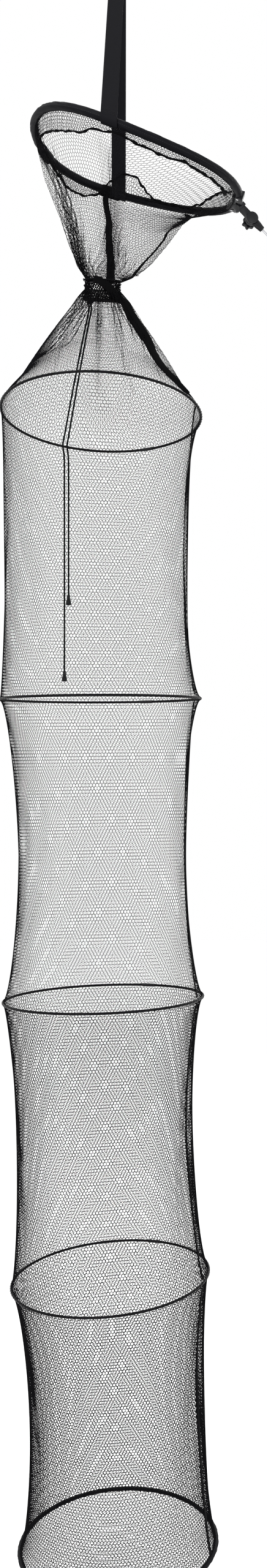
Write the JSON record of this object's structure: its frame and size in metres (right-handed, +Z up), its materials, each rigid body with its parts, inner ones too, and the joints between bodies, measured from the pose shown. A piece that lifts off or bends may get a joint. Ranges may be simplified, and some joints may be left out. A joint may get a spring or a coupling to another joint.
{
  "type": "keep net",
  "caption": "Round hooped keep net of fine dark mesh, hanging by a webbing strap from a tilted head frame with a swivelling ground spike.",
  "frame": {"origin": "where a hook bears under the top of the handle strap's loop", "axes": "+Z up, towards the hook; +X towards the frame block and spike; -Y towards the near side of the picture"},
  "size_m": [0.762, 0.4757, 3.1775],
  "materials": {
    "webbing": "woven, matte",
    "sleeve_cloth": "woven, matte",
    "net": "fine knitted mesh",
    "tape": "woven, matte",
    "cord": "braided, matte",
    "moulding": "satin moulded",
    "cord_plastic": "satin moulded",
    "hoop_plastic": "smooth, a little shiny",
    "rim_metal": "drawn tube",
    "steel": "bright drawn",
    "brass": "turned"
  },
  "bodies": {
    "head": {"handle_strap": "webbing", "head_frame_tube": "rim_metal", "rim_sleeve": "sleeve_cloth", "rim_tab": "webbing", "lip_net": "net", "lip_binding": "tape", "frame_block": "moulding", "near_collar_screw": "steel", "far_collar_screw": "steel", "pivot_bolt": "steel", "pivot_washer": "steel", "mouth_net": "net", "mouth_seam_tape": "tape"},
    "neck": {"neck_band": "sleeve_cloth", "neck_drawstring": "cord", "neck_knot": "cord", "cord_short": "cord", "cord_long": "cord", "cone_net": "net", "cone_seam_tape": "tape"},
    "ring_1": {"hoop_1": "hoop_plastic", "hoop_1_ferrule": "steel", "net_section_1": "net", "seam_tape_1": "tape", "cord_end_short": "cord_plastic", "cord_end_long": "cord_plastic"},
    "ring_2": {"hoop_2": "hoop_plastic", "hoop_2_ferrule": "steel", "net_section_2": "net", "seam_tape_2": "tape"},
    "ring_3": {"hoop_3": "hoop_plastic", "hoop_3_ferrule": "steel", "net_section_3": "net", "seam_tape_3": "tape"},
    "ring_4": {"hoop_4": "hoop_plastic", "hoop_4_ferrule": "steel", "net_section_4": "net", "seam_tape_4": "tape"},
    "ring_5": {"hoop_5": "hoop_plastic", "hoop_5_ferrule": "steel", "bottom_sleeve": "sleeve_cloth", "bottom_net": "net"},
    "holder": {"spike_holder": "moulding", "ground_spike": "steel"},
    "knob": {"star_knob": "moulding", "knob_insert": "brass"}
  },
  "joints": [
    {"name": "neck_rise", "type": "slide", "parent": "head", "child": "neck", "axis": [0, 0, 1], "range_m": [0, 0.2], "deforming": ["mouth_net", "mouth_seam_tape"]},
    {"name": "hoop_1_rise", "type": "slide", "parent": "neck", "child": "ring_1", "axis": [0, 0, 1], "range_m": [0, 0.14], "deforming": ["cone_net", "cone_seam_tape", "cord_short", "cord_long"]},
    {"name": "hoop_2_rise", "type": "slide", "parent": "ring_1", "child": "ring_2", "axis": [0, 0, 1], "range_m": [0, 0.49], "deforming": ["net_section_1", "seam_tape_1"]},
    {"name": "hoop_3_rise", "type": "slide", "parent": "ring_2", "child": "ring_3", "axis": [0, 0, 1], "range_m": [0, 0.55], "deforming": ["net_section_2", "seam_tape_2"]},
    {"name": "hoop_4_rise", "type": "slide", "parent": "ring_3", "child": "ring_4", "axis": [0, 0, 1], "range_m": [0, 0.51], "deforming": ["net_section_3", "seam_tape_3"]},
    {"name": "hoop_5_rise", "type": "slide", "parent": "ring_4", "child": "ring_5", "axis": [0, 0, 1], "range_m": [0, 0.505], "deforming": ["net_section_4", "seam_tape_4"]},
    {"name": "spike_swing", "type": "hinge", "parent": "head", "child": "holder", "pos_m": [0.26516, 0.02849, -0.50377], "axis": [-0.2678, 0.9592, -0.0906], "range_deg": [-105, 52]},
    {"name": "knob_turn", "type": "hinge", "parent": "head", "child": "knob", "pos_m": [0.26516, 0.02849, -0.50377], "axis": [-0.2678, 0.9592, -0.0906], "continuous": true}
  ]
}
